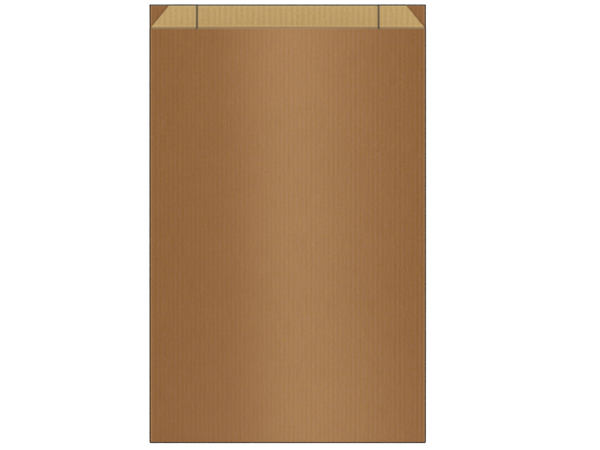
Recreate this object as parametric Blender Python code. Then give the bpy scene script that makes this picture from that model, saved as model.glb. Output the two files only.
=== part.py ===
"""A flat paper bag with side gussets, lying on its back panel with the mouth towards +Y.

The bag is one sheet of kraft paper, folded into a tube with a glued lengthwise seam in the back
panel and a gusset tucked in at each side. At the mouth the front panel is cut lower than the back
one, and at the bottom a tail of the front panel is folded round the edge and glued to the back.
Its folds have sprung open a little, so that the front panel arches over the back one.

Metres, +Z up. The origin is the middle of the footprint, on the surface that the bag lies on.
The functions count y from the bottom edge, and the finished bag is moved to its origin.
"""

import math

import bmesh
import bpy

# The sheet
PAPER = 0.0001  # thickness of the kraft
PRESSED_GAP = 0.00015  # air between two layers that are folded flat on each other

# The outline
WIDTH = 0.120
LENGTH = 0.1904  # bottom edge to the top edge of the back panel
LIP = 0.0102  # what the back panel shows above the front panel's edge
LIP_CUT_START = 0.0006  # the slanted cut in each front gusset layer leaves the front's edge this far in
LIP_CUT_END = 0.009  # and meets the back's edge this far in from the side
GUSSET_DEPTH = 0.0206  # side edge to the gusset's inner fold

# The glued laps
SEAM_OVERLAP = 0.012
SEAM_SLOPE = 0.0015  # length over which the seam's inner edge climbs onto its outer one
TAIL = 0.012  # what the front panel's tail covers of the back panel
TAIL_SLOPE = 0.003  # length over which the layers come down from the tail
GLUE_INSET = 0.002  # the glue stops this far short of an edge

# How far the folds have sprung open
SIDE_RISE = 0.0018  # the front panel's side folds, above where pressing would hold them
CROWN = 0.0043  # the middle of the front panel, above its side folds
OPEN_LENGTH = 0.070  # the panel rises to that over this length, from the tail's edge up

# How finely curved stretches are divided
FOLD_SEGMENTS = 6
FRONT_SEGMENTS = 20
LAYER_SEGMENTS = 3
SLOPE_SEGMENTS = 3
OPEN_SEGMENTS = 9
UPPER_SEGMENTS = 3
MOUTH_SEGMENTS = 3
MOUTH_ZONE = 0.005  # the rows that follow the mouth's steps start this far below the front edge
SMOOTH_ANGLE = math.radians(35)

# What follows from these sizes
PITCH = PAPER + PRESSED_GAP  # from the middle of one pressed layer to the middle of the next
FOLD_RADIUS = PITCH / 2
SIDE_FOLD_X = WIDTH / 2 - PAPER / 2 - FOLD_RADIUS
INNER_FOLD_X = WIDTH / 2 - GUSSET_DEPTH + PAPER / 2 + FOLD_RADIUS
LIP_CUT_START_X = WIDTH / 2 - LIP_CUT_START
LIP_CUT_END_X = WIDTH / 2 - LIP_CUT_END
FRONT_EDGE = LENGTH - LIP
SEAM_EDGE_X = SEAM_OVERLAP / 2
SEAM_STEP_X = -SEAM_EDGE_X - PITCH  # where the seam's inner edge has climbed onto the outer one
REST_START = TAIL + TAIL_SLOPE  # from here up the back panel lies on the surface
OPEN_END = TAIL + OPEN_LENGTH
TAIL_Z = PAPER / 2
BACK_OVER_TAIL_Z = TAIL_Z + PITCH
FRONT_OVER_TAIL_Z = TAIL_Z + 4 * PITCH  # over the tail, the back panel and two gusset layers
WRAP_RADIUS = (FRONT_OVER_TAIL_Z - TAIL_Z) / 2  # of the tail's turn round the bottom edge
WRAP_START = PAPER / 2 + WRAP_RADIUS

OUTSIDE_COLOUR = (0.287, 0.133, 0.050, 1.0)
INSIDE_COLOUR = (0.515, 0.352, 0.147, 1.0)
KRAFT_ROUGHNESS = 0.6


def ease(share):
    """Rises from 0 to 1 with no kink at either end."""
    share = min(max(share, 0.0), 1.0)
    return share * share * (3 - 2 * share)


def spread(first, last, segments):
    return [first + (last - first) * i / segments for i in range(segments + 1)]


def back_level(y):
    """Height of the back panel, which comes down from the tail to the surface."""
    return BACK_OVER_TAIL_Z - (BACK_OVER_TAIL_Z - PAPER / 2) * ease((y - TAIL) / TAIL_SLOPE)


def openness(y):
    return ease((y - TAIL) / OPEN_LENGTH)


def front_slope(y):
    """Slope of the front panel where it leaves its side folds."""
    return math.atan(2 * CROWN * openness(y) / SIDE_FOLD_X)


def layer_slope(rise):
    """Slope of a gusset layer, which leaves one fold on its inside and meets the other there."""
    along = SIDE_FOLD_X - INNER_FOLD_X
    return math.atan2(rise, along) - math.asin(2 * FOLD_RADIUS / math.hypot(along, rise))


def fold(centre_x, centre_z, start, end):
    """Points round a fold, between two angles from +X."""
    return [
        (centre_x + FOLD_RADIUS * math.cos(angle), centre_z + FOLD_RADIUS * math.sin(angle))
        for angle in spread(start, end, FOLD_SEGMENTS)
    ]


def layer(start, end, xs):
    """Points of the straight layer between two folds, at the given xs."""
    rise = (end[1] - start[1]) / (end[0] - start[0])
    return [(x, start[1] + rise * (x - start[0])) for x in xs]


def gusset(y):
    """The right gusset's section at y with its three folds, as (panel, x, z) from the back up."""
    back_z = back_level(y)
    front_z = FRONT_OVER_TAIL_Z + (SIDE_RISE - PITCH) * openness(y)
    low_z, high_z = back_z + FOLD_RADIUS, front_z - FOLD_RADIUS
    middle_z = (low_z + high_z) / 2
    slope = layer_slope(middle_z - low_z)
    quarter = math.pi / 2
    back_fold = fold(SIDE_FOLD_X, low_z, -quarter, quarter - slope)
    inner_fold = fold(INNER_FOLD_X, middle_z, -quarter - slope, slope - 3 * quarter)
    front_fold = fold(SIDE_FOLD_X, high_z, slope - quarter, quarter - front_slope(y))
    lower = spread(back_fold[-1][0], inner_fold[0][0], LAYER_SEGMENTS)[1:-1]
    upper = spread(inner_fold[-1][0], LIP_CUT_END_X, LAYER_SEGMENTS)[1:]
    upper += spread(LIP_CUT_END_X, LIP_CUT_START_X, LAYER_SEGMENTS)[1:]
    parts = (
        ("back", back_fold + layer(back_fold[-1], inner_fold[0], lower) + inner_fold),
        ("front gusset", layer(inner_fold[-1], front_fold[0], upper)),
        ("front fold", front_fold[:-1]),
        ("front", front_fold[-1:]),
    )
    return [(panel, x, z) for panel, points in parts for x, z in points]


def front_panel(y, edge_x, edge_z):
    """The arch between the side folds, which carries on their slope."""
    rise = edge_x * math.tan(front_slope(y)) / 2
    return [
        ("front", x, edge_z + rise * (1 - (x / edge_x) ** 2))
        for x in spread(edge_x, -edge_x, FRONT_SEGMENTS)[1:-1]
    ]


def section(y):
    """The sheet's section at y as (panel, x, z), from the seam's outer edge to its inner edge."""
    level = back_level(y)
    right = gusset(y)
    left = [(panel, -x, z) for panel, x, z in reversed(right)]
    outer = spread(-SEAM_EDGE_X, SIDE_FOLD_X, LAYER_SEGMENTS)[:-1]
    inner = spread(-SIDE_FOLD_X, SEAM_STEP_X - SEAM_SLOPE, LAYER_SEGMENTS)[1:]
    return (
        [("back", x, level) for x in outer]
        + right
        + front_panel(y, *right[-1][1:])
        + left
        + [("back", x, level) for x in inner]
        + [("back", x, level + PITCH) for x in (SEAM_STEP_X, SEAM_EDGE_X)]
    )


def mouth_height(panel, x):
    """Where the sheet ends at the mouth: low in front, and slanting up to the back's height."""
    if panel in ("front", "front fold"):
        return FRONT_EDGE
    if panel == "front gusset":
        share = (LIP_CUT_START_X - abs(x)) / (LIP_CUT_START_X - LIP_CUT_END_X)
        return FRONT_EDGE + LIP * min(share, 1.0)
    return LENGTH


def stations():
    """The rows that run straight across the bag, from the bottom edge to below the mouth."""
    rows = [WRAP_START]
    rows += spread(TAIL, REST_START, SLOPE_SEGMENTS)
    rows += spread(REST_START, OPEN_END, OPEN_SEGMENTS)[1:]
    rows += spread(OPEN_END, FRONT_EDGE - MOUTH_ZONE, UPPER_SEGMENTS)[1:]
    return rows


def mouth_row(step):
    """One of the rows that turn from a straight one into the mouth's stepped edge."""
    start = FRONT_EDGE - MOUTH_ZONE
    row = []
    for i, (panel, x, _) in enumerate(section(start)):
        y = start + (mouth_height(panel, x) - start) * step / MOUTH_SEGMENTS
        row.append((x, y, section(y)[i][2]))
    return row


def skin(mesh, low, high):
    """Faces between two rows of points, with their outer sides on the outside of the bag."""
    for i in range(len(low) - 1):
        mesh.faces.new((low[i], high[i], high[i + 1], low[i + 1]))


def add_tail(mesh, edge):
    """Carries the front panel on round the bottom edge and up under the back panel."""
    middle_z = TAIL_Z + WRAP_RADIUS
    profile = [
        (WRAP_START - WRAP_RADIUS * math.sin(turn), middle_z + WRAP_RADIUS * math.cos(turn))
        for turn in spread(0, math.pi, FOLD_SEGMENTS)[1:]
    ]
    profile.append((TAIL, TAIL_Z))
    for y, z in profile:
        row = [mesh.verts.new((vert.co.x, y, z)) for vert in edge]
        skin(mesh, row, edge)
        edge = row


def folded_sheet():
    """The middle surface of the whole sheet."""
    mesh = bmesh.new()
    rows = [[(x, y, z) for _, x, z in section(y)] for y in stations()]
    rows += [mouth_row(step) for step in range(1, MOUTH_SEGMENTS + 1)]
    grid = [[mesh.verts.new(point) for point in row] for row in rows]
    for low, high in zip(grid, grid[1:]):
        skin(mesh, low, high)
    panels = [panel for panel, _, _ in section(WRAP_START)]
    add_tail(mesh, [vert for vert, panel in zip(grid[0], panels) if panel == "front"])
    return mesh


def kraft(name, colour):
    material = bpy.data.materials.new(name)
    material.use_nodes = True
    shader = material.node_tree.nodes["Principled BSDF"]
    shader.inputs["Base Color"].default_value = colour
    shader.inputs["Roughness"].default_value = KRAFT_ROUGHNESS
    shader.inputs["Metallic"].default_value = 0.0
    material.diffuse_color = colour
    return material


def add_object(name, mesh):
    data = bpy.data.meshes.new(name)
    mesh.to_mesh(data)
    mesh.free()
    obj = bpy.data.objects.new(name, data)
    obj.location.y = -LENGTH / 2
    bpy.context.scene.collection.objects.link(obj)
    return obj


def glue_strip(name, from_x, to_x, from_y, to_y, lower_layer):
    """Glue between two layers, from the middle of the lower one to the middle of the upper one."""
    mesh = bmesh.new()
    rings = []
    for y in [from_y] + [y for y in stations() if from_y < y < to_y] + [to_y]:
        low = lower_layer(y)
        corners = ((from_x, low), (to_x, low), (to_x, low + PITCH), (from_x, low + PITCH))
        rings.append([mesh.verts.new((x, y, z)) for x, z in corners])
    for near, far in zip(rings, rings[1:]):
        for i in range(4):
            mesh.faces.new((near[i - 1], near[i], far[i], far[i - 1]))
    mesh.faces.new(reversed(rings[0]))
    mesh.faces.new(rings[-1])
    bmesh.ops.recalc_face_normals(mesh, faces=mesh.faces)
    strip = add_object(name, mesh)
    strip.hide_render = True
    strip.display_type = "WIRE"
    return strip


def glue_strips():
    """The seam's glue, and the tail's on either side of the seam's outer edge."""
    bottom = WRAP_START + GLUE_INSET
    side_x = SIDE_FOLD_X - GLUE_INSET
    inner_seam_x = SEAM_EDGE_X - GLUE_INSET
    seam = (bottom, LENGTH - GLUE_INSET, back_level)
    tail = (bottom, TAIL - GLUE_INSET, lambda y: TAIL_Z)
    return [
        glue_strip("seam_glue", -inner_seam_x, inner_seam_x, *seam),
        glue_strip("tail_glue_left", -side_x, SEAM_STEP_X - SEAM_SLOPE - GLUE_INSET, *tail),
        glue_strip("tail_glue_right", -inner_seam_x, side_x, *tail),
    ]


def clear_scene():
    for obj in list(bpy.data.objects):
        bpy.data.objects.remove(obj)


def build_bag():
    bag = add_object("paper_bag", folded_sheet())
    bag.data.materials.append(kraft("kraft_outside", OUTSIDE_COLOUR))
    bag.data.materials.append(kraft("kraft_inside", INSIDE_COLOUR))
    bag.data.shade_smooth()
    bag.data.set_sharp_from_angle(angle=SMOOTH_ANGLE)
    paper = bag.modifiers.new("paper_thickness", "SOLIDIFY")
    paper.thickness = PAPER
    paper.offset = 0
    paper.use_even_offset = True
    paper.material_offset = 1
    for strip in glue_strips():
        bond = bag.modifiers.new(strip.name, "BOOLEAN")
        bond.operation = "UNION"
        bond.solver = "EXACT"
        bond.object = strip


clear_scene()
build_bag()
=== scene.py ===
"""The looks of the flat paper bag: its ribbed kraft sheet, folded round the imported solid's shape.

Metres, +Z up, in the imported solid's frame. The sheet's functions count y from the bottom edge.
"""

import math

import bpy
import numpy as np
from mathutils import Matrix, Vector


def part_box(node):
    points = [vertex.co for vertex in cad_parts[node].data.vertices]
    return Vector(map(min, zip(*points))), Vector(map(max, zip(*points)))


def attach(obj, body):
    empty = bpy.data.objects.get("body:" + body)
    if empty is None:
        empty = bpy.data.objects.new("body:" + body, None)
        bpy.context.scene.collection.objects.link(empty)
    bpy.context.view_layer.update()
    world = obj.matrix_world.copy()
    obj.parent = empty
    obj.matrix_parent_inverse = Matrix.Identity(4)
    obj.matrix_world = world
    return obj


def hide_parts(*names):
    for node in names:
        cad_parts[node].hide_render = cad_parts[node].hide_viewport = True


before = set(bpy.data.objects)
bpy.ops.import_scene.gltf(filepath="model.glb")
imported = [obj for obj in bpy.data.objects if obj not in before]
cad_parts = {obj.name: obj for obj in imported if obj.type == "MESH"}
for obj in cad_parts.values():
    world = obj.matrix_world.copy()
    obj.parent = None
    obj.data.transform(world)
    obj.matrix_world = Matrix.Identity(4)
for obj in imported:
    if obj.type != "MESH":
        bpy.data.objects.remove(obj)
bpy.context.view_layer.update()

BAG_LOW, BAG_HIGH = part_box("paper_bag")

# The folded sheet, as the solid has it
WIDTH = BAG_HIGH.x - BAG_LOW.x
LENGTH = BAG_HIGH.y - BAG_LOW.y
PAPER = 0.0001  # thickness of the kraft
PRESSED_GAP = 0.00015  # air between two layers that are folded flat on each other
LIP = 0.0102  # what the back panel shows above the front panel's edge
LIP_CUT_START = 0.0006  # the slanted cut in each front gusset layer leaves the front's edge this far in
LIP_CUT_END = 0.009  # and meets the back's edge this far in from the side
GUSSET_DEPTH = 0.0206
SEAM_OVERLAP = 0.012
SEAM_SLOPE = 0.0015  # length over which the seam's inner edge climbs onto its outer one
TAIL = 0.012  # what the front panel's tail covers of the back panel
TAIL_SLOPE = 0.003  # length over which the back panel comes down from the tail
SIDE_RISE = 0.0018  # the front panel's side folds, above where pressing would hold them
OPEN_LENGTH = 0.070  # above the tail, the front panel rises to its full height over this length

# What follows from these sizes
PITCH = PAPER + PRESSED_GAP
FOLD_RADIUS = PITCH / 2
SIDE_FOLD_X = WIDTH / 2 - PAPER / 2 - FOLD_RADIUS
INNER_FOLD_X = WIDTH / 2 - GUSSET_DEPTH + PAPER / 2 + FOLD_RADIUS
GUSSET_SHADE_X = INNER_FOLD_X - FOLD_RADIUS  # where shade is painted on the layers round a gusset's inner fold
LIP_CUT_START_X = WIDTH / 2 - LIP_CUT_START
LIP_CUT_END_X = WIDTH / 2 - LIP_CUT_END
FRONT_EDGE = LENGTH - LIP
SEAM_EDGE_X = SEAM_OVERLAP / 2
SEAM_STEP_X = -SEAM_EDGE_X - PITCH
CLIMB_START_X = SEAM_STEP_X - SEAM_SLOPE
REST_START = TAIL + TAIL_SLOPE  # from here up the back panel lies on the surface
OPEN_END = TAIL + OPEN_LENGTH
CROWN = BAG_HIGH.z - PAPER - 3 * PITCH - SIDE_RISE  # the front's middle, above its side folds
TAIL_Z = PAPER / 2
BACK_OVER_TAIL_Z = TAIL_Z + PITCH
FRONT_OVER_TAIL_Z = TAIL_Z + 4 * PITCH
WRAP_RADIUS = 2 * PITCH  # of the front panel's turn round the bottom edge
WRAP_START = PAPER / 2 + WRAP_RADIUS
WRAP_LENGTH = math.pi * WRAP_RADIUS
TAIL_START = WRAP_START - WRAP_LENGTH  # along the flat sheet, where that turn ends
TAIL_LENGTH = TAIL - WRAP_START
TAIL_END = TAIL_START - TAIL_LENGTH

# The ribs pressed into the sheet, and the finer stripes of its glazed side
RIB_PITCH = 0.002408  # 134 of them go once round the bag, so that they meet at the seam
RIB_HEIGHT = 0.000008
RIB_FADE = 0.0012  # a fold flattens the ribs up to this far from it
STRIPE_PITCH = 0.001925

# The sheet's slight unevenness, with each wave's lengths across and along the bag and its phase
MOUTH_CURL = 0.0006
MOUTH_CURL_START = FRONT_EDGE - 0.014
RIPPLE = 0.00005
RIPPLES = ((0.083, 0.21, 1.0), (math.inf, 0.071, 0.4))
RIPPLE_FADE = 0.04
FRONT_WAVE = 0.00006
FRONT_WAVES = ((0.19, 0.064, 0.0), (-0.08, 0.113, 0.0))
SECOND_FRONT_WAVE = 0.6  # its height, as a share of the first one's

# How finely the sheet is divided
COLUMNS_PER_RIB = 6
FOLD_COLUMNS = 8
CLIMB_COLUMNS = 6
WRAP_ROWS = 8
TAIL_ROWS = 3
SLOPE_ROWS = 5
ROW_SPACING = 0.0045
MOUTH_ROWS = 5
MOUTH_ZONE = 0.006  # the rows that follow the mouth's steps start this far below the front edge
SMOOTH_ANGLE = math.radians(40)

# How a column is known to be on a level layer, or on the middle of a fold
LEVEL = 0.9  # its normal's z is more than this, up or down
ROUNDING = 1e-6  # what its normal's angle may be off by

# Lines on the sheet, painted shade along the folds, the mouth and the front's edge, and the pale lines of
# cut edges: whole up to the first distance, gone from the second one on, and how strong
FOLD_SHADE_LINE = (0.00054, 0.00066, 1.0)
WRAP_SHADE_LINE = (0.00067, 0.00083, 1.0)
RIM_SHADE_LINE = (0.00055, 0.00070, 0.95)
INNER_FOLD_SHADE_LINE = (0.00042, 0.00058, 0.8)
FRONT_EDGE_SHADOW_LINE = (0.00018, 0.00044, 0.36)  # painted shadow of the front's edge on the inside
EDGE_GUSSET_SHADE_LINE = (0.00042, 0.00058, 0.92)  # painted shade where a gusset's inner fold meets the front's edge
EDGE_GUSSET_SHADE_REACH = (0.0003, 0.001, 1.0)
FRONT_CUT_LINE = (0.00036, 0.00072, 0.95)
CUT_LINE = (0.00036, 0.00056, 0.6)

# Painted highlights, the paler lines beside them, and how far from the fold, cut or mouth each of them lies
FOLD_HIGHLIGHT = (0.00014, 0.00034, 0.95)
OUTSIDE_RIM_HIGHLIGHT = (0.00014, 0.00034, 0.35)
INSIDE_RIM_HIGHLIGHT = (0.00014, 0.00034, 0.7)
# painted light on the lip just above the front's edge, where the front's shade falls
FRONT_EDGE_LIGHT = (0.00014, 0.00068, 0.5)
TO_FOLD_HIGHLIGHT = 0.00086
TO_RIM_HIGHLIGHT = 0.00096
TO_FRONT_EDGE_LIGHT = 0.00086

# A painted sheen: the lighter band down the middle of the front, which lies further right towards the
# bottom
BAND_SHIFT = 0.0067  # at the bottom edge
BAND_LEAN = -0.035
BAND_LEFT = 0.03481  # how far it reaches to its left
BAND_RIGHT = 0.06528

# Painted shade, darker towards the bottom where the bag is pressed flat, and the darker tone over the glue
# under its seam and tail
PRESSED_SHADE_STRENGTH = 0.34
GLUE_STRENGTH = 0.45
GLUE_INSET = 0.002  # the glue stops this far short of an edge
GLUE_FADE = 0.0012
GLUE_WAVE = 0.0012  # how far its edges wander

# Patterns in the kraft: their cells across and along the sheet, and how much they tone it
FIBRE_CELL = (0.0004, 0.0013)
CROSS_FIBRE_CELL = (0.0016, 0.0005)
CLOUD_CELL = (0.009, 0.013)
STREAK_CELL = (0.0006, 0.009)
DYE_CELL = (0.0009, 0.0024)
CUT_FIBRE = 0.0002
CLOUD_REACH = 0.1  # most of the clouds' noise stays within this of its mean
FIBRE_TONE = 0.44
CROSS_FIBRE_TONE = 0.12
CLOUD_TONE = 0.06
OUTSIDE_TONES = {"ribs": 0.010, "stripes": 0.037, "streaks": 0.24, "dye": 0.95, "dyed_ribs": 0.075}
INSIDE_TONES = {"ribs": 0.042, "streaks": 0.20, "dye": 0.45}
CHANNEL_SHARES = (1.0, 1.35, 1.9)  # how much of a tone goes to red, green and blue

# How each side takes the light, and the relief of its fibres
OUTSIDE_FINISH = {"roughness": 0.45, "bump": 0.3, "specular": 0.25}
INSIDE_FINISH = {"roughness": 0.7, "bump": 0.5, "specular": 0.1}
CUT_ROUGHNESS = 0.85
CUT_SPECULAR = 0.1
ROUGHNESS_SPREAD = 0.25
FIBRE_HEIGHT = 0.00003
CROSS_FIBRE_HEIGHT = 0.6  # as a share of that

# Colours in linear light
OUTSIDE = (0.270, 0.120, 0.0405, 1)
OUTSIDE_PATCHES = (0.276, 0.124, 0.043, 1)
# painted sheen down the middle of the front
OUTSIDE_SHEEN = (0.328, 0.164, 0.0645, 1)
# painted highlight beside the folds and the mouth
OUTSIDE_HIGHLIGHT = (0.385, 0.190, 0.075, 1)
# the glue's own darker tone, also used as painted shade where the bag is pressed flat
OUTSIDE_GLUE_AND_SHADE = (0.225, 0.097, 0.033, 1)
# painted shade: a nearly black line along the outer folds and round the bottom edge
OUTSIDE_FOLD_SHADE = (0.010, 0.006, 0.003, 1)
# painted shade along the mouth's cut edge
OUTSIDE_RIM = (0.075, 0.085, 0.080, 1)
SHEEN_TINT = (1.0, 0.72, 0.43, 1)
INSIDE = (0.553, 0.369, 0.147, 1)
INSIDE_PATCHES = (0.539, 0.364, 0.151, 1)
# painted shadow of the front's edge on the lip
INSIDE_FRONT_SHADOW = (0.185, 0.160, 0.125, 1)
# painted shade along the mouth's cut edge
INSIDE_RIM = (0.040, 0.055, 0.062, 1)
# painted light on the lip, beside its cut edge and just above the front's edge
INSIDE_HIGHLIGHT = (0.660, 0.450, 0.190, 1)
# painted shade beside the gussets' inner folds
INNER_FOLD_SHADE = (0.095, 0.080, 0.066, 1)
CUT_EDGE = (0.288, 0.195, 0.102, 1)
WHITE = (1, 1, 1, 1)

# The floor, the lamps and the world, which lights the bag less strongly than it is seen
FLOOR = (0.8, 0.8, 0.8, 1)
FLOOR_REACH = 3.0
FLOOR_Z = -0.00005
FLOOR_GLOW = 0.50
KEY_AT = (0.0, 0.2, 2.4)
KEY_SIZE = (1.6, 0.8)
KEY_POWER = 42.9
STRIP_X = 0.004
STRIP_HEIGHT = 0.16
STRIP_SIZE = (0.03, 0.5)
STRIP_TURN = math.radians(2)
STRIP_POWER = 0.60
WORLD_LIGHT = 0.26
WORLD_SEEN = 1.0

# The photograph's frame, in its own pixels
PHOTO_WIDTH_PX = 600
PHOTO_HEIGHT_PX = 450
BAG_WIDTH_PX = 276.63
BAG_MIDDLE_PX = (287.71, 223.76)
METRES_PER_PX = WIDTH / BAG_WIDTH_PX
CAMERA_HEIGHT = 8.0
SENSOR_MM = 36.0


def ease(share):
    """Rises from 0 to 1 with no kink at either end."""
    share = np.clip(share, 0, 1)
    return share * share * (3 - 2 * share)


def back_level(y):
    """Height of the back panel, which comes down from the tail to the surface."""
    return BACK_OVER_TAIL_Z - (BACK_OVER_TAIL_Z - PAPER / 2) * ease((y - TAIL) / TAIL_SLOPE)


def openness(y):
    return ease((y - TAIL) / OPEN_LENGTH)


def front_slope(y):
    """Slope of the front panel where it leaves its side folds."""
    return math.atan(2 * CROWN * openness(y) / SIDE_FOLD_X)


def layer_slope(rise):
    """Slope of a gusset layer, which leaves one fold on its inside and meets the other there."""
    along = SIDE_FOLD_X - INNER_FOLD_X
    return math.atan2(rise, along) - math.asin(2 * FOLD_RADIUS / math.hypot(along, rise))


# Each stretch of a section is rows of x, z and the x and z of the normal out of the bag.
def fold(centre_x, centre_z, start, end):
    """A stretch round a fold, between two angles from +X."""
    angle = np.linspace(start, end, FOLD_COLUMNS + 1)
    out_x, out_z = np.cos(angle), np.sin(angle)
    side = np.sign(end - start)
    return np.column_stack(
        [centre_x + FOLD_RADIUS * out_x, centre_z + FOLD_RADIUS * out_z, side * out_x, side * out_z]
    )


def curve(x, z):
    """A stretch through these points, with the outside of the sheet on the right of the way along."""
    way = np.column_stack([np.gradient(x), np.gradient(z)])
    way /= np.linalg.norm(way, axis=1)[:, None]
    return np.column_stack([x, z, way[:, 1], -way[:, 0]])


def straight(start, end, shares):
    """The straight layer between two folds, without its ends."""
    shares = shares[1:-1]
    x = start[0] + shares * (end[0] - start[0])
    z = start[1] + shares * (end[1] - start[1])
    return curve(x, z)


def even_shares(length):
    """Shares of this length, so that its columns are as close as the ribs need."""
    return np.linspace(0, 1, max(2, round(length / RIB_PITCH * COLUMNS_PER_RIB)) + 1)


def run(stops):
    """Evenly spaced columns from each of these places to the next."""
    spans = [a + (b - a) * even_shares(abs(b - a)) for a, b in zip(stops, stops[1:])]
    return np.concatenate([spans[0]] + [span[1:] for span in spans[1:]])


def gusset(y):
    """The right gusset at y with its folds, as (panel, stretch) from the back up."""
    back_z = back_level(y)
    front_z = FRONT_OVER_TAIL_Z + (SIDE_RISE - PITCH) * openness(y)
    low_z, high_z = back_z + FOLD_RADIUS, front_z - FOLD_RADIUS
    middle_z = (low_z + high_z) / 2
    slope = layer_slope(middle_z - low_z)
    quarter = math.pi / 2
    back_fold = fold(SIDE_FOLD_X, low_z, -quarter, quarter - slope)
    inner_fold = fold(INNER_FOLD_X, middle_z, -quarter - slope, slope - 3 * quarter)
    front_fold = fold(SIDE_FOLD_X, high_z, slope - quarter, quarter - front_slope(y))
    leaves, enters = inner_fold[-1], front_fold[0]
    places = run((INNER_FOLD_X, LIP_CUT_END_X, LIP_CUT_START_X, SIDE_FOLD_X))
    upper_shares = np.clip((places - leaves[0]) / (enters[0] - leaves[0]), 0, 1)
    lower_shares = even_shares(SIDE_FOLD_X - INNER_FOLD_X)
    return [
        ("back", back_fold),
        ("back", straight(back_fold[-1], inner_fold[0], lower_shares)),
        ("back", inner_fold),
        ("front gusset", straight(leaves, enters, upper_shares)),
        ("front fold", front_fold[:-1]),
        ("front", front_fold[-1:]),
    ]


def front_panel(y, edge_x, edge_z):
    """The arch between the side folds, which carries on their slope."""
    x = edge_x * (1 - 2 * even_shares(2 * edge_x))
    rise = edge_x * math.tan(front_slope(y)) / 2
    return curve(x, edge_z + rise * (1 - (x / edge_x) ** 2))[1:-1]


def mirrored(stretches):
    return [(panel, rows[::-1] * (-1, 1, -1, 1)) for panel, rows in reversed(stretches)]


def section(y):
    """(names of the columns' panels, their rows) at y, from the seam's outer edge to its inner one."""
    level = back_level(y)
    right = gusset(y)
    outer_x = run((-SEAM_EDGE_X, GUSSET_SHADE_X, SIDE_FOLD_X))[:-1]
    rest_x = run((-SIDE_FOLD_X, -GUSSET_SHADE_X, CLIMB_START_X))[1:]
    climb_x = np.linspace(CLIMB_START_X, SEAM_STEP_X, CLIMB_COLUMNS + 1)[1:-1]
    inner_x = np.concatenate([rest_x, climb_x, run((SEAM_STEP_X, SEAM_EDGE_X))])
    inner_z = level + PITCH * ease((inner_x - CLIMB_START_X) / SEAM_SLOPE)
    stretches = (
        [("back", curve(outer_x, np.full_like(outer_x, level)))]
        + right
        + [("front", front_panel(y, *right[-1][1][-1, :2]))]
        + mirrored(right)
        + [("back", curve(inner_x, inner_z))]
    )
    panels = np.concatenate([[panel] * len(rows) for panel, rows in stretches])
    return panels, np.concatenate([rows for _, rows in stretches])


def mouth_height(panels, x):
    """Where each column ends at the mouth: low in front, and slanting up to the back's height."""
    slant = np.clip((LIP_CUT_START_X - abs(x)) / (LIP_CUT_START_X - LIP_CUT_END_X), 0, 1)
    share = np.select([panels == "front gusset", panels == "back"], [slant, 1.0], 0.0)
    return FRONT_EDGE + LIP * share


def stations():
    """The rows that run straight across the bag, from the bottom edge to below the mouth."""
    top = FRONT_EDGE - MOUTH_ZONE
    return np.concatenate(
        [
            np.linspace(WRAP_START, TAIL, TAIL_ROWS + 1)[:-1],
            np.linspace(TAIL, REST_START, SLOPE_ROWS + 1)[:-1],
            np.linspace(REST_START, top, round((top - REST_START) / ROW_SPACING) + 1),
        ]
    )


def flat_across(panels, rows):
    """Each column's place across the flat sheet, from the middle of the front to its left."""
    steps = np.hypot(np.diff(rows[:, 0]), np.diff(rows[:, 1]))
    flat_x = np.concatenate([[0], np.cumsum(steps)])
    return flat_x - flat_x[panels == "front"].mean()


def nearest(flat_x, marked):
    """How far each column is from the nearest of the marked ones."""
    return np.abs(flat_x[:, None] - flat_x[None, marked]).min(axis=1)


def fold_distance(flat_x, rows):
    """How far each column is from the middle of the nearest fold across the sheet."""
    half_step = math.pi / FOLD_COLUMNS / 2
    return nearest(flat_x, np.abs(rows[:, 3]) < math.sin(half_step + ROUNDING))


def gusset_shade_distance(flat_x, panels, rows):
    """How far each column of the back is from the line of painted shade beside a gusset's inner fold."""
    on_line = np.isclose(np.abs(rows[:, 0]), GUSSET_SHADE_X)
    return nearest(flat_x, on_line & (panels == "back") & (np.abs(rows[:, 3]) > LEVEL))


def wave(x, y, across, along, phase):
    return np.sin(2 * math.pi * (x / across + y / along) + phase)


def unevenness(x, y):
    """How far the whole bag stands off the surface at x, y: a curl at the mouth and faint ripples."""
    curl = MOUTH_CURL * np.clip((y - MOUTH_CURL_START) / (LENGTH - MOUTH_CURL_START), 0, 1) ** 2
    ripples = wave(x, y, *RIPPLES[0]) * wave(x, y, *RIPPLES[1])
    return curl + RIPPLE * (1 + ripples) * ease((y - REST_START) / RIPPLE_FADE)


def front_wave(x, y):
    """The front panel's own slack, which fades at its side folds."""
    waves = wave(x, y, *FRONT_WAVES[0]) + SECOND_FRONT_WAVE * wave(x, y, *FRONT_WAVES[1])
    return FRONT_WAVE * waves * openness(y) * np.clip(1 - (x / SIDE_FOLD_X) ** 2, 0, 1)


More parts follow.
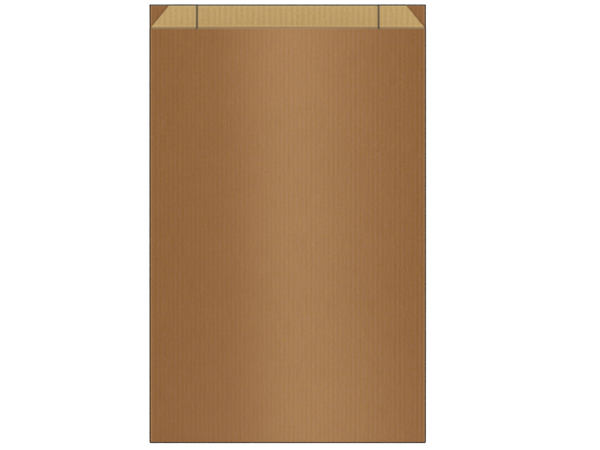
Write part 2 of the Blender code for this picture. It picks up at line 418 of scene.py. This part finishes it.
def sheet_grid():
    """The middle of the sheet as arrays over its rows and columns, and its tail's over the front's."""
    panels, first = section(WRAP_START)
    flat_x = flat_across(panels, first)
    to_fold = fold_distance(flat_x, first)
    to_imprint = gusset_shade_distance(flat_x, panels, first)
    rows = [section(y)[1] for y in stations()]
    heights = [np.full(len(first), y) for y in stations()]
    mouth, start = mouth_height(panels, rows[-1][:, 0]), heights[-1]
    for share in np.linspace(0, 1, MOUTH_ROWS + 1)[1:]:
        rows.append(rows[-1])
        heights.append(start + (mouth - start) * share)
    y = np.array(heights)
    x, z, out_x, out_z = np.moveaxis(np.array(rows), -1, 0)
    rib = RIB_HEIGHT * np.cos(2 * math.pi * flat_x / RIB_PITCH) * ease(to_fold / RIB_FADE)
    x, z = x + rib * out_x, z + rib * out_z
    z = z + RIB_HEIGHT + unevenness(x, y) + np.where(panels == "front", front_wave(x, y), 0)
    to_front_cut = np.where(panels == "front", mouth - y, LENGTH)
    zero = np.zeros_like(x)
    body = {
        "at": np.stack([x, y, z], axis=-1),
        "out": np.stack([out_x, zero, out_z], axis=-1),
        "sheet": np.stack([zero + flat_x, y, zero], axis=-1),
        "wear_and_shade": np.stack([zero + to_fold, zero + to_imprint, to_front_cut], axis=-1),
    }
    return body, tail_grid(body, panels == "front", rib)


def tail_grid(body, front, rib):
    """The rows that carry the front panel on round the bottom edge and under the back panel."""
    turns = np.linspace(0, math.pi, WRAP_ROWS + 1)[1:]
    under = np.linspace(0, TAIL_LENGTH, TAIL_ROWS + 1)[1:]
    ys = np.concatenate([WRAP_START - WRAP_RADIUS * np.sin(turns), WRAP_START + under])
    zs = np.concatenate([TAIL_Z + WRAP_RADIUS * (1 + np.cos(turns)), np.full(TAIL_ROWS, TAIL_Z)])
    out_ys = np.concatenate([-np.sin(turns), np.zeros(TAIL_ROWS)])
    out_zs = np.concatenate([np.cos(turns), np.full(TAIL_ROWS, -1.0)])
    sheet_ys = WRAP_START - np.concatenate([WRAP_RADIUS * turns, WRAP_LENGTH + under])
    x = np.broadcast_to(body["at"][0, front, 0], (len(ys), front.sum()))
    zero = np.zeros_like(x)
    y, z, out_y, out_z, sheet_y = (zero + each[:, None] for each in (ys, zs, out_ys, out_zs, sheet_ys))
    out = np.stack([zero, out_y, out_z], axis=-1)
    return {
        "at": np.stack([x, y, z], axis=-1) + out * rib[front][:, None] + (0, 0, RIB_HEIGHT),
        "out": out,
        "sheet": np.stack([zero + body["sheet"][0, front, 0], sheet_y, zero], axis=-1),
        "wear_and_shade": np.broadcast_to(body["wear_and_shade"][0, front], out.shape),
        "front": front,
    }


def quads(index):
    """Faces over a grid of vertex numbers, with their outer sides on the outside of the bag."""
    corners = [index[:-1, :-1], index[1:, :-1], index[1:, 1:], index[:-1, 1:]]
    return np.stack(corners, axis=-1).reshape(-1, 4)


def open_edges(faces, count):
    """The edges that only one face has, in that face's direction."""
    edges = np.stack([faces, np.roll(faces, -1, axis=1)], axis=-1).reshape(-1, 2)
    keys, back = edges @ (count, 1), edges @ (1, count)
    return edges[~np.isin(keys, back)]


def build_sheet():
    """The paper as one closed mesh: its outer side, its inner side and the cut edges between them."""
    body, tail = sheet_grid()
    shape = body["at"].shape[:2]
    body_index = np.arange(shape[0] * shape[1]).reshape(shape)
    tail_index = body_index.size + np.arange(tail["at"][..., 0].size).reshape(tail["at"].shape[:2])
    joined = np.concatenate([tail_index[::-1], body_index[:1, tail["front"]]])
    outer = np.concatenate([quads(body_index), quads(joined)])
    both = {
        key: np.concatenate([body[key].reshape(-1, 3), tail[key].reshape(-1, 3)])
        for key in ("at", "out", "sheet", "wear_and_shade")
    }
    count = len(both["at"])
    inner = outer[:, ::-1] + count
    edge = open_edges(outer, count)
    rim = np.column_stack([edge[:, 1], edge[:, 0], edge[:, 0] + count, edge[:, 1] + count])
    half = both["out"] * PAPER / 2
    vertices = np.concatenate([both["at"] + half, both["at"] - half]) - (0, LENGTH / 2, 0)
    faces = np.concatenate([outer, inner, rim])
    mesh = bpy.data.meshes.new("kraft_sheet")
    mesh.from_pydata(vertices.tolist(), [], faces.tolist())
    mesh.polygons.foreach_set("material_index", np.repeat([0, 1, 2], [len(outer), len(inner), len(rim)]))
    for name in ("sheet", "wear_and_shade"):
        values = np.concatenate([both[name], both[name]]).astype(np.float32)
        mesh.attributes.new(name, "FLOAT_VECTOR", "POINT").data.foreach_set("vector", values.ravel())
    mesh.shade_smooth()
    mesh.set_sharp_from_angle(angle=SMOOTH_ANGLE)
    mesh.validate()
    piece = bpy.data.objects.new("kraft_sheet", mesh)
    bpy.context.scene.collection.objects.link(piece)
    return piece


class Graph:
    """The nodes of one material or world, so that each pattern below takes a line or two."""

    def __init__(self, owner, shader="Principled BSDF"):
        owner.use_nodes = True
        self.owner = owner
        self.tree = owner.node_tree
        self.shader = self.tree.nodes[shader]

    def put(self, socket, value):
        if isinstance(value, bpy.types.NodeSocket):
            self.tree.links.new(value, socket)
        else:
            socket.default_value = value

    def shade(self, **inputs):
        """Puts these on the shader's sockets, whose names have spaces for the underscores."""
        for name, value in inputs.items():
            self.put(self.shader.inputs[name.replace("_", " ")], value)

    def node(self, kind, inputs=(), **settings):
        node = self.tree.nodes.new(kind)
        for key, value in settings.items():
            setattr(node, key, value)
        for key, value in dict(inputs).items():
            self.put(node.inputs[key], value)
        return node

    def attribute(self, name):
        return self.node("ShaderNodeAttribute", attribute_name=name).outputs["Vector"]

    def parts(self, vector):
        return self.node("ShaderNodeSeparateXYZ", {0: vector}).outputs

    def math(self, operation, *values, clamp=False):
        node = self.node("ShaderNodeMath", enumerate(values), operation=operation, use_clamp=clamp)
        return node.outputs[0]

    def vector_math(self, operation, *values):
        return self.node("ShaderNodeVectorMath", enumerate(values), operation=operation).outputs[0]

    def noise(self, vector, layer, cell, detail=2.0, rough=0.5):
        """One layer of noise about its mean, over cells of this size across and along the sheet."""
        across, along = cell
        at = self.vector_math("MULTIPLY_ADD", vector, (1 / across, 1 / along, 0), (0, 0, layer))
        inputs = {"Vector": at, "Scale": 1.0, "Detail": detail, "Roughness": rough}
        return self.math("SUBTRACT", self.node("ShaderNodeTexNoise", inputs).outputs[0], 0.5)

    def stripes(self, across, pitch):
        """A wave from -1 to 1 across the sheet."""
        return self.math("SINE", self.math("MULTIPLY", across, 2 * math.pi / pitch))

    def total(self, *weighted):
        """The sum of the patterns, each times its weight."""
        value = 0.0
        for pattern, weight in weighted:
            value = self.math("MULTIPLY_ADD", pattern, weight, value)
        return value

    def line(self, distance, whole, gone, strength):
        """This strength up to one distance from a line, and 0 from the other one on."""
        inputs = {"Value": distance, "From Min": whole, "From Max": gone, "To Min": strength, "To Max": 0.0}
        return self.node("ShaderNodeMapRange", inputs, interpolation_type="SMOOTHSTEP").outputs["Result"]

    def distance(self, place, line_at):
        return self.math("ABSOLUTE", self.math("SUBTRACT", place, line_at))

    def largest(self, *values):
        value = values[0]
        for other in values[1:]:
            value = self.math("MAXIMUM", value, other)
        return value

    def mix(self, share, a, b):
        node = self.tree.nodes.new("ShaderNodeMix")
        node.data_type = "RGBA"
        self.put(node.inputs[0], share)
        self.put(node.inputs[6], a)
        self.put(node.inputs[7], b)
        return node.outputs[2]

    def layered(self, colour, *layers):
        """The colour under these layers of (share, colour), of which the last is on top."""
        for share, over in layers:
            colour = self.mix(share, colour, over)
        return colour

    def seen(self):
        """1 for what the camera sees, also in gloss and through glass, and 0 for what only lights."""
        path = self.node("ShaderNodeLightPath").outputs
        return self.largest(path["Is Camera Ray"], path["Is Glossy Ray"], path["Is Transmission Ray"])


class Kraft(Graph):
    """Ribbed kraft: its places on the sheet, fibres, cloudy formation, streaks, uneven dye and ribs."""

    def __init__(self, name):
        super().__init__(bpy.data.materials.new(name))
        self.sheet = self.attribute("sheet")
        self.across, self.along = self.parts(self.sheet)[:2]
        self.to_fold, self.to_imprint, self.to_front_cut = self.parts(self.attribute("wear_and_shade"))[:3]
        self.to_mouth = self.math("SUBTRACT", LENGTH, self.along)
        self.fibres = self.noise(self.sheet, 1, FIBRE_CELL, detail=4.0, rough=0.65)
        self.cross_fibres = self.noise(self.sheet, 2, CROSS_FIBRE_CELL, detail=3.0, rough=0.6)
        self.clouds = self.noise(self.sheet, 3, CLOUD_CELL, detail=3.0)
        self.streaks = self.noise(self.sheet, 4, STREAK_CELL)
        self.dye = self.noise(self.sheet, 5, DYE_CELL)
        self.ribs = self.stripes(self.across, RIB_PITCH)

    def toned(self, colour, ribs, streaks, dye, stripes=0.0, dyed_ribs=0.0):
        """The colour with its patterns, which change blue more than green, and green more than red."""
        pattern = self.total(
            (self.fibres, FIBRE_TONE),
            (self.cross_fibres, CROSS_FIBRE_TONE),
            (self.clouds, CLOUD_TONE),
            (self.streaks, streaks),
            (self.ribs, ribs),
            (self.stripes(self.across, STRIPE_PITCH), stripes),
        )
        channels = [self.math("MULTIPLY_ADD", pattern, share, 1.0) for share in CHANNEL_SHARES]
        channels[2] = self.math("ADD", channels[2], self.total((self.dye, dye), (self.ribs, dyed_ribs)))
        change = self.node("ShaderNodeCombineXYZ", enumerate(channels)).outputs[0]
        return self.vector_math("MULTIPLY", colour, change)

    def patches(self, colour, other):
        return self.mix(self.math("ADD", self.clouds, 0.5, clamp=True), colour, other)

    def finish(self, colour, painted_shade, roughness, bump, specular):
        """Puts the colour on the shader, dull on the lines of painted shade, with the relief of its fibres.
        """
        rough = self.math("MULTIPLY_ADD", self.fibres, ROUGHNESS_SPREAD, roughness)
        height = self.math("MULTIPLY_ADD", self.cross_fibres, CROSS_FIBRE_HEIGHT, self.fibres)
        relief = {"Height": height, "Strength": bump, "Distance": FIBRE_HEIGHT}
        self.shade(
            Base_Color=colour,
            Roughness=self.math("MAXIMUM", rough, painted_shade),
            Normal=self.node("ShaderNodeBump", relief).outputs[0],
            Specular_IOR_Level=specular,
        )


def plain_brown(kraft):
    """The brown side, with painted shade where the bag is pressed flat and a painted sheen down the middle
    of the front.
    """
    leaning = kraft.math("MULTIPLY_ADD", kraft.along, BAND_LEAN, BAND_SHIFT)
    left_of_band = kraft.math("ADD", kraft.across, leaning)
    from_band = kraft.largest(
        kraft.math("MULTIPLY", left_of_band, 1 / BAND_LEFT),
        kraft.math("MULTIPLY", left_of_band, -1 / BAND_RIGHT),
    )
    return kraft.layered(
        kraft.patches(OUTSIDE, OUTSIDE_PATCHES),
        # painted shade, darker towards the bottom where the bag is pressed flat
        (kraft.line(kraft.along, TAIL, OPEN_END, PRESSED_SHADE_STRENGTH), OUTSIDE_GLUE_AND_SHADE),
        # painted sheen down the middle of the front
        (kraft.line(from_band, 0.0, 1.0, 1.0), OUTSIDE_SHEEN),
    )


def glue_bands(kraft, seam_edge):
    """Where the glue of the seam and of the tail lies under the paper, with ragged edges."""
    ragged = kraft.math("MULTIPLY", kraft.clouds, GLUE_WAVE / CLOUD_REACH)
    from_seam = kraft.distance(kraft.math("ADD", kraft.across, ragged), seam_edge + SEAM_OVERLAP / 2)
    from_tail = kraft.distance(kraft.math("ADD", kraft.along, ragged), (TAIL_START + TAIL_END) / 2)
    seam_reach = SEAM_OVERLAP / 2 - GLUE_INSET
    tail_reach = TAIL_LENGTH / 2 - GLUE_INSET
    return kraft.largest(
        kraft.line(from_seam, seam_reach, seam_reach + GLUE_FADE, GLUE_STRENGTH),
        kraft.line(from_tail, tail_reach, tail_reach + GLUE_FADE, GLUE_STRENGTH),
    )


def outside():
    """The brown glazed side, with pale cut edges, painted shade along its folds, mouth and the front's
    edge, and painted highlights beside them.
    """
    kraft = Kraft("kraft_outside")
    seam_edge = flat_across(*section(WRAP_START))[0]
    brown_base = kraft.mix(glue_bands(kraft, seam_edge), plain_brown(kraft), OUTSIDE_GLUE_AND_SHADE)
    # painted highlights beside the folds and the mouth
    painted_highlights = kraft.largest(
        kraft.line(kraft.distance(kraft.to_fold, TO_FOLD_HIGHLIGHT), *FOLD_HIGHLIGHT),
        kraft.line(kraft.distance(kraft.to_mouth, TO_RIM_HIGHLIGHT), *OUTSIDE_RIM_HIGHLIGHT),
    )
    cuts = kraft.largest(
        kraft.line(kraft.to_front_cut, *FRONT_CUT_LINE),
        kraft.line(kraft.distance(kraft.across, seam_edge), *CUT_LINE),
        kraft.line(kraft.distance(kraft.along, TAIL_END), *CUT_LINE),
    )
    # painted shade where a gusset's inner fold meets the front's edge
    to_gusset = kraft.distance(kraft.math("ABSOLUTE", kraft.across), GUSSET_SHADE_X)
    edge_gusset_shade_reach = kraft.line(kraft.to_front_cut, *EDGE_GUSSET_SHADE_REACH)
    edge_gusset_shade = kraft.math("MULTIPLY", kraft.line(to_gusset, *EDGE_GUSSET_SHADE_LINE), edge_gusset_shade_reach)
    # painted shade along the mouth's cut edge
    rim = kraft.line(kraft.to_mouth, *RIM_SHADE_LINE)
    # painted shade along the outer folds and round the bottom edge
    shade_lines = kraft.largest(
        kraft.line(kraft.to_fold, *FOLD_SHADE_LINE),
        kraft.line(kraft.distance(kraft.along, WRAP_START - WRAP_LENGTH / 2), *WRAP_SHADE_LINE),
    )
    colour = kraft.layered(
        kraft.toned(brown_base, **OUTSIDE_TONES),
        (painted_highlights, OUTSIDE_HIGHLIGHT),
        (cuts, CUT_EDGE),
        (edge_gusset_shade, INNER_FOLD_SHADE),
        (rim, OUTSIDE_RIM),
        (shade_lines, OUTSIDE_FOLD_SHADE),
    )
    kraft.shade(Specular_Tint=SHEEN_TINT)
    kraft.finish(colour, kraft.largest(shade_lines, rim), **OUTSIDE_FINISH)
    return kraft.owner


def inside():
    """The paler, duller side, which shows at the lip, with painted shade along its folds, its mouth and the
    front's edge, and painted light beside them.
    """
    kraft = Kraft("kraft_inside")
    to_front_edge = kraft.distance(kraft.along, FRONT_EDGE)
    # painted highlight beside the mouth, and painted light above the front's edge
    painted_highlights = kraft.largest(
        kraft.line(kraft.distance(kraft.to_mouth, TO_RIM_HIGHLIGHT), *INSIDE_RIM_HIGHLIGHT),
        kraft.line(kraft.distance(kraft.along, FRONT_EDGE + TO_FRONT_EDGE_LIGHT), *FRONT_EDGE_LIGHT),
    )
    # painted shade along the folds and beside the gussets' inner folds
    shade_lines = kraft.largest(
        kraft.line(kraft.to_fold, *INNER_FOLD_SHADE_LINE),
        kraft.line(kraft.to_imprint, *INNER_FOLD_SHADE_LINE),
    )
    # painted shade along the mouth's cut edge
    rim = kraft.line(kraft.to_mouth, *RIM_SHADE_LINE)
    colour = kraft.layered(
        kraft.toned(kraft.patches(INSIDE, INSIDE_PATCHES), **INSIDE_TONES),
        (painted_highlights, INSIDE_HIGHLIGHT),
        # painted shadow of the front's edge on the lip
        (kraft.line(to_front_edge, *FRONT_EDGE_SHADOW_LINE), INSIDE_FRONT_SHADOW),
        (shade_lines, INNER_FOLD_SHADE),
        (rim, INSIDE_RIM),
    )
    kraft.finish(colour, rim, **INSIDE_FINISH)
    return kraft.owner


def cut_edge():
    """The paper's cut edges, between the colours of the cut lines and of the inside."""
    graph = Graph(bpy.data.materials.new("cut_edge"))
    at = graph.node("ShaderNodeTexCoord").outputs["Object"]
    inputs = {"Vector": at, "Scale": 1 / CUT_FIBRE, "Detail": 3.0}
    fibres = graph.node("ShaderNodeTexNoise", inputs).outputs[0]
    colour = graph.mix(fibres, CUT_EDGE, INSIDE)
    graph.shade(Base_Color=colour, Roughness=CUT_ROUGHNESS, Specular_IOR_Level=CUT_SPECULAR)
    return graph.owner


def add_bag():
    bag = build_sheet()
    for material in (outside(), inside(), cut_edge()):
        bag.data.materials.append(material)
    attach(bag, "root")
    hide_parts("paper_bag")


def add_floor():
    """A pale floor just under the bag, which the camera sees as white."""
    mesh = bpy.data.meshes.new("floor")
    ways = ((-1, -1), (1, -1), (1, 1), (-1, 1))
    corners = [(x * FLOOR_REACH, y * FLOOR_REACH, FLOOR_Z) for x, y in ways]
    mesh.from_pydata(corners, [], [(0, 1, 2, 3)])
    floor = bpy.data.objects.new("floor", mesh)
    bpy.context.scene.collection.objects.link(floor)
    graph = Graph(bpy.data.materials.new("pale_floor"))
    graph.shade(
        Base_Color=FLOOR,
        Roughness=1.0,
        Specular_IOR_Level=0.0,
        Emission_Color=WHITE,
        Emission_Strength=graph.math("MULTIPLY", graph.seen(), FLOOR_GLOW),
    )
    mesh.materials.append(graph.owner)


def add_area_light(name, at, towards, size, power):
    light = bpy.data.lights.new(name, "AREA")
    light.shape = "RECTANGLE"
    light.size, light.size_y = size
    light.energy = power
    lamp = bpy.data.objects.new(name, light)
    lamp.location = at
    lamp.rotation_euler = (Vector(at) - Vector(towards)).to_track_quat("Z", "Y").to_euler()
    lamp.visible_camera = False
    bpy.context.scene.collection.objects.link(lamp)
    return lamp


def add_lights():
    """A large soft lamp, a long one that only shows in the front's gloss, and a pale world."""
    key = add_area_light("key", KEY_AT, (0, 0, 0), KEY_SIZE, KEY_POWER)
    key.visible_glossy = False
    strip_at = (STRIP_X, 0, STRIP_HEIGHT)
    strip = add_area_light("strip", strip_at, (STRIP_X, 0, 0), STRIP_SIZE, STRIP_POWER)
    strip.rotation_euler.z += STRIP_TURN
    strip.visible_diffuse = False
    graph = Graph(bpy.data.worlds.new("studio"), "Background")
    strength = graph.math("MULTIPLY_ADD", graph.seen(), WORLD_SEEN - WORLD_LIGHT, WORLD_LIGHT)
    graph.shade(Color=WHITE, Strength=strength)
    bpy.context.scene.world = graph.owner


def add_camera():
    """A camera far above the bag, placed so that the bag lies in the frame as in the photograph."""
    camera = bpy.data.cameras.new("camera")
    camera.sensor_width = SENSOR_MM
    camera.lens = SENSOR_MM * CAMERA_HEIGHT / (PHOTO_WIDTH_PX * METRES_PER_PX)
    camera.clip_end = 2 * CAMERA_HEIGHT
    eye = bpy.data.objects.new("camera", camera)
    right_px = PHOTO_WIDTH_PX / 2 - BAG_MIDDLE_PX[0]
    up_px = BAG_MIDDLE_PX[1] - PHOTO_HEIGHT_PX / 2
    eye.location = (right_px * METRES_PER_PX, up_px * METRES_PER_PX, CAMERA_HEIGHT)
    bpy.context.scene.collection.objects.link(eye)
    bpy.context.scene.camera = eye


bpy.context.scene.view_settings.view_transform = "Standard"
add_camera()
add_bag()
add_floor()
add_lights()
